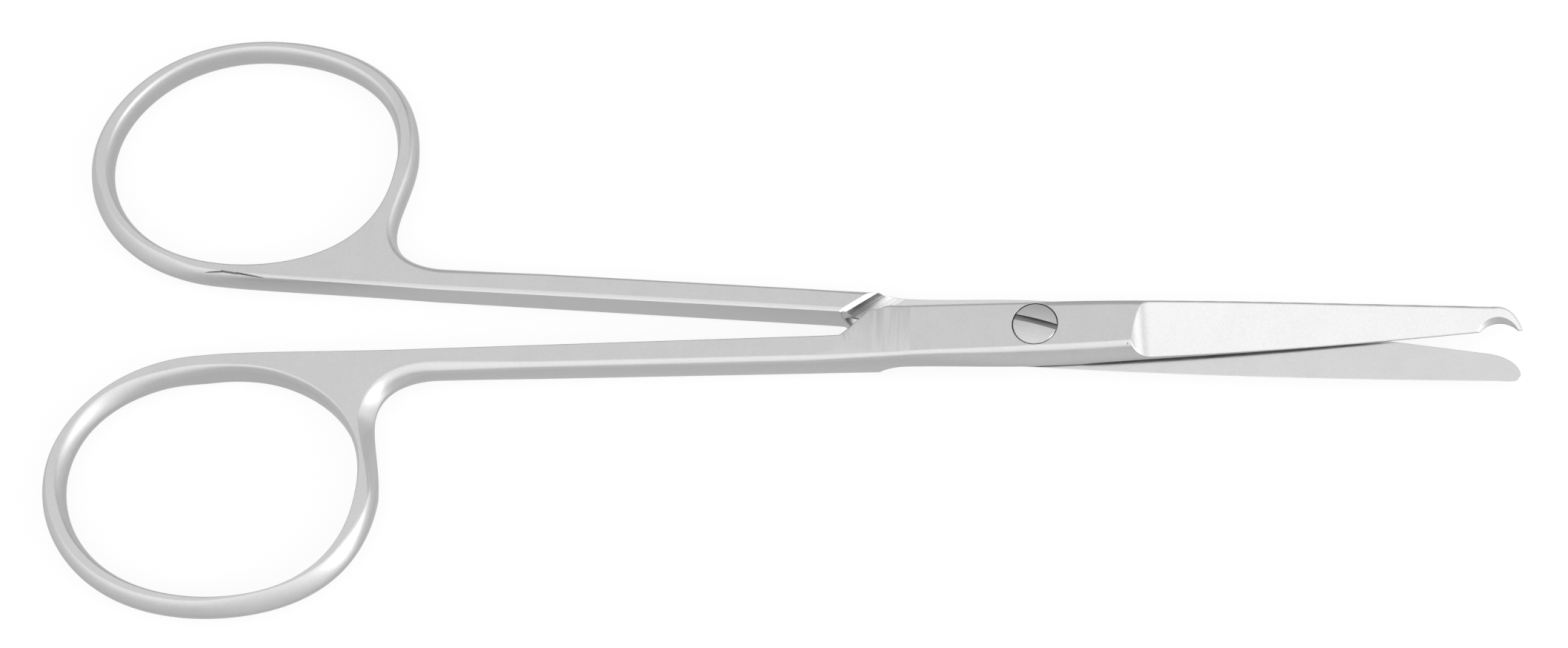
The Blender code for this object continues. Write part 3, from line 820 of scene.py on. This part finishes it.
def cut_lap(obj):
    """Take away everything above the lap plane, up to the scooped shoulder."""
    floor = -LAP_GAP / 2
    top = half_thickness(-SHOULDER_REACH, 1)
    radius = top - floor
    start = degrees(atan2(SHOULDER_CHAMFER, radius))
    rise = SHOULDER_CHAMFER + CHAMFER_OVER
    begin = radius - sqrt(radius ** 2 - SHOULDER_CHAMFER ** 2)
    profile = [(begin - rise, top + CHAMFER_OVER)]
    kinds = [CHAMFER]
    for i in range(SHOULDER_STEPS + 1):
        angle = radians(start + (90 - start) * i / SHOULDER_STEPS)
        profile.append((radius - radius * cos(angle), top - radius * sin(angle)))
        kinds.append(MILLED)
    kinds[-1] = LAPPED
    far = HOOK_REACH + HOOK_RING_REACH
    profile.append((far, floor))
    profile.append((far, top + LAP_OVER))
    profile.append((begin - rise, top + LAP_OVER))
    kinds.extend([FORGED, FORGED, FORGED])
    cutter = prism(obj.name + "_lap_cutter", profile, kinds, 2 * far)
    turn = radians(SHOULDER_TURN)
    cutter.rotation_euler = (0, 0, turn - pi / 2)
    x, y = shoulder_point(0)
    cutter.location = (x * MM, y * MM, 0)
    cut(obj, cutter)


def cut_blade(obj, hooked):
    """Grind the blade's outer side to a flat wedge that starts in a round scoop.

    The wedge gets thinner to the tip.
    """
    reach = blade_end(hooked)[0]
    turn, start_y = grind_turn(hooked)
    profile = []
    for i in range(SCOOP_STEPS + 1):
        angle = pi / 2 * i / SCOOP_STEPS
        profile.append((GRIND_RADIUS - GRIND_RADIUS * cos(angle),
                        GRIND_RADIUS * sin(angle) - GRIND_RADIUS))
    profile.append((reach, 0.0))
    profile.append((reach, -2 * JOINT_HALF))
    profile.append((0.0, -2 * JOINT_HALF))
    cutter = prism(obj.name + "_grind_cutter", profile, [GROUND] * len(profile), CUTTER_WIDTH)
    cutter.rotation_euler = turn
    cutter.location = (GRIND_START * MM, start_y * MM, -EDGE_START * MM)
    cut(obj, cutter)


def cut_relief(obj, hooked):
    """Hollow the blade's inner face a little, so that the blades meet only near their tips."""
    reach = blade_end(hooked)[0] - NOTCH_BACKSET * 2
    profile = []
    for i in range(RELIEF_STEPS + 1):
        x = RELIEF_START + (reach - RELIEF_START) * i / RELIEF_STEPS
        depth = RELIEF_DEPTH * sin(pi * sqrt(i / RELIEF_STEPS))
        profile.append((x, -LAP_GAP / 2 - depth))
    profile.append((reach, JOINT_HALF))
    profile.append((RELIEF_START, JOINT_HALF))
    cut(obj, prism(obj.name + "_relief_cutter", profile, [LAPPED] * len(profile),
                   CUTTER_WIDTH))


def cut_creases(obj):
    """The forging creases beside the plain ring, as short V grooves along its lower edge."""
    for x, y, turn, length, half_width in CREASES:
        profile = [(-half_width, CREASE_TOP), (half_width, CREASE_TOP), (0.0, -CREASE_DEPTH)]
        cutter = prism(obj.name + "_crease_cutter", profile, [FORGED] * len(profile), length)
        cutter.rotation_euler = (0, 0, radians(turn - 90))
        cutter.location = (x * MM, y * MM, RING_HALF * MM)
        cut(obj, cutter)


def cut_notch(obj):
    """Grind the stitch notch: round, and bevelled so that its floor is sharp."""
    grow = tan(radians(NOTCH_BEVEL))
    top, foot = NOTCH_TOP, -NOTCH_DEPTH * JOINT_HALF
    cutter = turned("notch_cutter", [(0.0, top), (NOTCH_RADIUS - grow * top, top),
                                     (NOTCH_RADIUS - grow * foot, foot), (0.0, foot)], BORE)
    cutter.location = ((HOOK_REACH - NOTCH_BACKSET) * MM, (NOTCH_FLOOR + NOTCH_RADIUS) * MM, 0)
    cut(obj, cutter)


def crisp(mesh, angle):
    """Smooth the mesh, but keep its corners and the borders of its flats and finishes."""
    mesh.shade_smooth()
    mesh.set_sharp_from_angle(angle=radians(angle))
    bm = bmesh.new()
    bm.from_mesh(mesh)
    for edge in bm.edges:
        if len(edge.link_faces) != 2:
            continue
        one, two = edge.link_faces
        flat_one = abs(one.normal.z) > FLAT_NORMAL
        flat_two = abs(two.normal.z) > FLAT_NORMAL
        if flat_one != flat_two or one.material_index != two.material_index:
            edge.smooth = False
    bm.to_mesh(mesh)
    bm.free()


def bake(obj, name, matrix, crease_angle):
    """Apply every cut, move the mesh to its place in the row's frame and drop the cutters."""
    bpy.context.view_layer.update()
    graph = bpy.context.evaluated_depsgraph_get()
    mesh = bpy.data.meshes.new_from_object(obj.evaluated_get(graph))
    mesh.transform(matrix)
    crisp(mesh, crease_angle)
    mesh.name = name
    for cutter in list(obj.children):
        bpy.data.objects.remove(cutter, do_unlink=True)
    bpy.data.objects.remove(obj, do_unlink=True)
    piece = bpy.data.objects.new(name, mesh)
    bpy.context.scene.collection.objects.link(piece)
    return piece


def make_half(name, hooked, finishes):
    """One half: its forging with every cut, laid in its place at the resting opening."""
    obj = forging(name + "_rough", hooked)
    for material in finishes:
        obj.data.materials.append(material)
    cut_lap(obj)
    cut_blade(obj, hooked)
    cut_relief(obj, hooked)
    over = JOINT_HALF + BORE_OVER
    lift = Matrix.Translation((0, 0, JOINT_HALF * MM))
    if hooked:
        cut_notch(obj)
        hole = SCREW_NECK + FIT_GAP
        seat = HEAD_RADIUS + FIT_GAP
        rim = -(JOINT_HALF + HEAD_PROUD - HEAD_RIM) + FIT_GAP
        cut(obj, turned("seat_cutter", [(0.0, over), (hole, over), (hole, rim + HEAD_CONE),
                                        (seat, rim), (seat, -over), (0.0, -over)], BORE))
        turn = Matrix.Rotation(radians(REST_OPENING / 2), 4, "Z")
        return bake(obj, name, lift @ turn @ Matrix.Rotation(pi, 4, "X"), HALF_CREASE)
    cut_creases(obj)
    hole = SCREW_RADIUS + FIT_GAP
    cut(obj, turned("thread_cutter", [(0.0, over), (hole, over), (hole, -over), (0.0, -over)],
                    BORE))
    turn = Matrix.Rotation(radians(-REST_OPENING / 2), 4, "Z")
    return bake(obj, name, lift @ turn, HALF_CREASE)


def make_screw(finishes):
    """The pivot screw, turned about Z, with its slot milled across the domed head."""
    top = 2 * JOINT_HALF + HEAD_PROUD
    rim = top - HEAD_RIM
    neck_end = JOINT_HALF + LAP_GAP / 2
    profile = [(0.0, top + HEAD_DOME)]
    ball = (HEAD_RADIUS ** 2 + HEAD_DOME ** 2) / (2 * HEAD_DOME)
    for i in range(1, DOME_STEPS + 1):
        r = (HEAD_RADIUS - HEAD_EASE) * i / DOME_STEPS
        profile.append((r, top + HEAD_DOME - ball + sqrt(ball ** 2 - r ** 2)))
    profile.extend([(HEAD_RADIUS, top - HEAD_EASE), (HEAD_RADIUS, rim),
                    (SCREW_NECK, rim - HEAD_CONE), (SCREW_NECK, neck_end),
                    (SCREW_RADIUS, neck_end), (SCREW_RADIUS, TAIL_EASE),
                    (SCREW_RADIUS - TAIL_EASE, 0.0), (0.0, 0.0)])
    obj = turned("pivot_screw_rough", profile, 0)
    for material in finishes:
        obj.data.materials.append(material)
    slot_bm = bmesh.new()
    bmesh.ops.create_cube(slot_bm, size=1.0)
    # The slot's faces take the second finish, whose dark colour is painted shade in the recess.
    for face in slot_bm.faces:
        face.material_index = 1
    bmesh.ops.scale(slot_bm, verts=slot_bm.verts[:],
                    vec=(3 * HEAD_RADIUS * MM, SLOT_WIDTH * MM, 2 * SLOT_DEPTH * MM))
    slot = add_object("slot_cutter", slot_bm)
    slot.location = (0, SLOT_SHIFT * MM, (top + HEAD_DOME) * MM)
    slot.rotation_euler = (0, 0, radians(SLOT_TURN))
    cut(obj, slot)
    return bake(obj, "slotted_screw", Matrix.Identity(4), SCREW_CREASE)


def link(tree, source, target):
    """Wire one socket to another."""
    tree.links.new(source, target)


def noise(tree, vector, scale, detail, rough):
    """A noise pattern over a vector."""
    node = tree.nodes.new("ShaderNodeTexNoise")
    node.inputs["Scale"].default_value = scale
    node.inputs["Detail"].default_value = detail
    node.inputs["Roughness"].default_value = rough
    link(tree, vector, node.inputs["Vector"])
    return node.outputs["Fac"]


def spread(tree, value, low, high, to_low, to_high):
    """A value carried from one range to another."""
    node = tree.nodes.new("ShaderNodeMapRange")
    node.inputs["From Min"].default_value = low
    node.inputs["From Max"].default_value = high
    node.inputs["To Min"].default_value = to_low
    node.inputs["To Max"].default_value = to_high
    link(tree, value, node.inputs["Value"])
    return node.outputs["Result"]


def combine(tree, operation, one, two):
    """A value worked out from a socket and from another socket or a plain number."""
    node = tree.nodes.new("ShaderNodeMath")
    node.operation = operation
    link(tree, one, node.inputs[0])
    if isinstance(two, float):
        node.inputs[1].default_value = two
    else:
        link(tree, two, node.inputs[1])
    return node.outputs["Value"]


def mapped(tree, turn, scale):
    """Object coordinates in millimetres, turned about Z and stretched."""
    coords = tree.nodes.new("ShaderNodeTexCoord")
    turned_map = tree.nodes.new("ShaderNodeMapping")
    turned_map.vector_type = "POINT"
    turned_map.inputs["Rotation"].default_value = (0, 0, radians(-turn))
    link(tree, coords.outputs["Object"], turned_map.inputs["Vector"])
    scaled = tree.nodes.new("ShaderNodeMapping")
    scaled.inputs["Scale"].default_value = [value / MM for value in scale]
    link(tree, turned_map.outputs["Vector"], scaled.inputs["Vector"])
    return scaled.outputs["Vector"]


def bump(tree, height, normal, distance):
    """A normal raised further by a pattern, over a distance in millimetres."""
    node = tree.nodes.new("ShaderNodeBump")
    node.inputs["Strength"].default_value = 1.0
    node.inputs["Distance"].default_value = distance * MM
    link(tree, height, node.inputs["Height"])
    link(tree, normal, node.inputs["Normal"])
    return node.outputs["Normal"]


def steel(name, shade, roughness, grain=0.003, streak=0.003, streak_turn=0.0, mottle=0.04,
          drag=0.02, pits=0.5, ease=0.06, steep_shade=0.30, worn=0.0):
    """Stainless steel with a fine satin grain, drawn streaks, wear and a few pits.

    On the steep sides the colour is darkened as painted shade, by a share that grows as they
    get steeper; the ground faces get none of it. The rings are rougher than the shanks.
    """
    material = bpy.data.materials.new(name)
    material.use_nodes = True
    tree = material.node_tree
    shader = tree.nodes["Principled BSDF"]
    shader.inputs["Metallic"].default_value = 1.0

    even = mapped(tree, 0.0, (1, 1, 1))
    drawn = mapped(tree, streak_turn, STREAK_STRETCH)
    fine = noise(tree, even, *FINE_NOISE)
    cloud = noise(tree, even, *CLOUD_NOISE)
    streaks = noise(tree, drawn, *STREAK_NOISE)
    cells = tree.nodes.new("ShaderNodeTexVoronoi")
    cells.inputs["Scale"].default_value = PIT_CELLS
    link(tree, even, cells.inputs["Vector"])
    pit = spread(tree, cells.outputs["Distance"], *PIT_MASK)

    # Roughness: clouded, streaked, and higher where fingers wear the rings.
    rough = spread(tree, cloud, *CLOUD_RANGE, roughness - mottle, roughness + mottle)
    rough = combine(tree, "ADD", rough, spread(tree, streaks, *STREAK_ROUGHNESS))
    place = tree.nodes.new("ShaderNodeSeparateXYZ")
    link(tree, even, place.inputs["Vector"])
    rough = combine(tree, "ADD", rough,
                    spread(tree, place.outputs["X"], *WORN_RANGE, worn, 0.0))
    link(tree, rough, shader.inputs["Roughness"])

    # Tone: clouds, grain, streaks and dark pits, and painted shade that darkens the steep sides.
    tone = spread(tree, cloud, *CLOUD_TONE)
    tone = combine(tree, "MULTIPLY", tone, spread(tree, fine, *FINE_TONE))
    tone = combine(tree, "MULTIPLY", tone,
                   spread(tree, streaks, *STREAK_RANGE, 1.0 - drag, 1.0 + drag))
    tone = combine(tree, "MULTIPLY", tone, spread(tree, pit, 0.0, 1.0, 1.0, 1.0 - pits))
    # Painted shade: the colour darkens as the face's normal turns away from upright.
    coords = tree.nodes.new("ShaderNodeTexCoord")
    axes = tree.nodes.new("ShaderNodeSeparateXYZ")
    link(tree, coords.outputs["Normal"], axes.inputs["Vector"])
    level = combine(tree, "ABSOLUTE", axes.outputs["Z"], 0.0)
    tone = combine(tree, "MULTIPLY", tone,
                   spread(tree, level, *STEEP_SHADE_RANGE, 1.0 - steep_shade, 1.0))
    colour = tree.nodes.new("ShaderNodeVectorMath")
    colour.operation = "SCALE"
    colour.inputs[0].default_value = (shade, shade, shade)
    link(tree, tone, colour.inputs["Scale"])
    link(tree, colour.outputs["Vector"], shader.inputs["Base Color"])

    # Relief: eased edges, then grain, streaks and pits.
    edge = tree.nodes.new("ShaderNodeBevel")
    edge.samples = BEVEL_SAMPLES
    edge.inputs["Radius"].default_value = ease * MM
    normal = bump(tree, fine, edge.outputs["Normal"], grain)
    normal = bump(tree, streaks, normal, streak)
    normal = bump(tree, combine(tree, "MULTIPLY", pit, -1.0), normal, PIT_DEPTH)
    link(tree, normal, shader.inputs["Normal"])
    return material


def half_finishes(name, scoop_turn):
    """The finishes of one half, in the order of its material slots."""
    return [
        steel(name + "_forged", 0.61, 0.33, streak_turn=88.0, drag=0.012, worn=0.15),
        steel(name + "_ground", 0.685, 0.26, grain=0.001, streak_turn=80.0, mottle=0.012,
              ease=0.22, steep_shade=0.0),
        steel(name + "_lapped", 0.705, 0.30, grain=0.0012, streak_turn=12.0, mottle=0.015,
              drag=0.01),
        steel(name + "_milled", 0.68, 0.34, streak=0.02, streak_turn=scoop_turn, mottle=0.08,
              drag=0.28, steep_shade=0.0),
        steel(name + "_chamfer", 0.78, 0.24, streak_turn=scoop_turn, steep_shade=0.0),
        # The bore finish has a dark colour: painted shade in the notch and the holes.
        steel(name + "_bore_painted_shade", 0.38, 0.48, steep_shade=0.0),
    ]


def make_key():
    """The key lamp: a square softbox with a given radiance, aimed at the scissors' middle."""
    lamp = bpy.data.lights.new("key", "AREA")
    lamp.shape = "SQUARE"
    lamp.size = KEY_WIDTH
    lamp.energy = KEY_RADIANCE * pi * KEY_WIDTH * KEY_WIDTH
    obj = bpy.data.objects.new("key", lamp)
    obj.location = KEY_PLACE
    bpy.context.scene.collection.objects.link(obj)
    direction = Vector((LOOK_AT[0] * MM, 0, 0)) - obj.location
    obj.rotation_euler = direction.to_track_quat("-Z", "Y").to_euler()


def lobe(tree, vector, toward, near, far, level):
    """Extra light from one side: full within an angle of it, fading out to a wider one."""
    dot = tree.nodes.new("ShaderNodeVectorMath")
    dot.operation = "DOT_PRODUCT"
    link(tree, vector, dot.inputs[0])
    dot.inputs[1].default_value = Vector(toward).normalized()
    node = tree.nodes.new("ShaderNodeMapRange")
    node.interpolation_type = "SMOOTHSTEP"
    node.inputs["From Min"].default_value = cos(radians(far))
    node.inputs["From Max"].default_value = cos(radians(near))
    node.inputs["To Max"].default_value = level
    link(tree, dot.outputs["Value"], node.inputs["Value"])
    return node.outputs["Result"]


def make_world():
    """A pale studio: darker round the horizon, with soft lamps overhead and to the right."""
    world = bpy.data.worlds.new("studio")
    bpy.context.scene.world = world
    world.use_nodes = True
    tree = world.node_tree
    coords = tree.nodes.new("ShaderNodeTexCoord")
    around = coords.outputs["Generated"]
    total = lobe(tree, around, *STUDIO_TOP)
    for row in STUDIO_LOBES:
        total = combine(tree, "ADD", total, lobe(tree, around, *row))
    total = combine(tree, "ADD", total, STUDIO_BASE)
    background = tree.nodes["Background"]
    background.inputs["Color"].default_value = (1, 1, 1, 1)
    link(tree, total, background.inputs["Strength"])


def make_floor():
    """A pale table top that shows white to the camera and keeps a soft shadow."""
    bm = bmesh.new()
    bmesh.ops.create_grid(bm, x_segments=1, y_segments=1, size=FLOOR_REACH)
    floor = add_object("table_top", bm)
    floor.location = (0, 0, -FLOOR_DROP * MM)
    material = bpy.data.materials.new("table_white")
    material.use_nodes = True
    tree = material.node_tree
    out = tree.nodes["Material Output"]
    diffuse = tree.nodes["Principled BSDF"]
    diffuse.inputs["Base Color"].default_value = (FLOOR_SHADE, FLOOR_SHADE, FLOOR_SHADE, 1)
    diffuse.inputs["Roughness"].default_value = FLOOR_ROUGHNESS
    glow = tree.nodes.new("ShaderNodeEmission")
    glow.inputs["Color"].default_value = (1, 1, 1, 1)
    glow.inputs["Strength"].default_value = 1.0
    path = tree.nodes.new("ShaderNodeLightPath")
    seen = combine(tree, "MAXIMUM", path.outputs["Is Camera Ray"], path.outputs["Is Glossy Ray"])
    seen = combine(tree, "MAXIMUM", seen, path.outputs["Is Transmission Ray"])
    seen = combine(tree, "MULTIPLY", seen, FLOOR_GLOW)
    mix = tree.nodes.new("ShaderNodeMixShader")
    link(tree, seen, mix.inputs[0])
    link(tree, diffuse.outputs["BSDF"], mix.inputs[1])
    link(tree, glow.outputs["Emission"], mix.inputs[2])
    link(tree, mix.outputs["Shader"], out.inputs["Surface"])
    floor.data.materials.append(material)
    return floor


def make_camera():
    """The photograph's view: from above, a little from the front and from the right."""
    tilt, swing, turn = radians(VIEW_TILT), radians(VIEW_SWING), radians(VIEW_TURN)
    back = Vector((sin(tilt) * sin(swing), -sin(tilt) * cos(swing), cos(tilt)))
    up = Vector((0, 1, 0)) - back * back.y
    up.normalize()
    right = up.cross(back)
    spin = Matrix.Rotation(turn, 3, "Z")
    back, up, right = spin @ back, spin @ up, spin @ right
    data = bpy.data.cameras.new("camera")
    data.sensor_fit = "HORIZONTAL"
    data.sensor_width = SENSOR_WIDTH
    data.lens = VIEW_DISTANCE / MM_PER_PIXEL * SENSOR_WIDTH / PHOTO_WIDTH
    data.clip_start = CLIP_START
    data.clip_end = CLIP_END
    camera = bpy.data.objects.new("camera", data)
    turn_matrix = Matrix((right, up, back)).transposed().to_4x4()
    place = Vector(LOOK_AT) * MM + back * VIEW_DISTANCE * MM
    camera.matrix_world = Matrix.Translation(place) @ turn_matrix
    bpy.context.scene.collection.objects.link(camera)
    bpy.context.scene.camera = camera


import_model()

scene = bpy.context.scene
scene.view_settings.view_transform = "Standard"

plain = make_half("plain_blade_half", False,
                  half_finishes("plain", SHOULDER_TURN - REST_OPENING / 2))
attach(plain, "lower_half")
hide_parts("plain_half")

hook = make_half("hook_blade_half", True,
                 half_finishes("hook", REST_OPENING / 2 - SHOULDER_TURN))
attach(hook, "upper_half")
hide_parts("hook_half")

# The head's turned steel, and for the slot a much darker steel: painted shade in the recess.
screw = make_screw([steel("screw_turned", 0.56, 0.26, streak_turn=SLOT_TURN, pits=0.0),
                    steel("screw_slot_painted_shade", 0.22, 0.4, streak_turn=SLOT_TURN, pits=0.0)])
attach(screw, "lower_half")
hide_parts("pivot_screw")

make_floor()
make_world()
make_key()
make_camera()
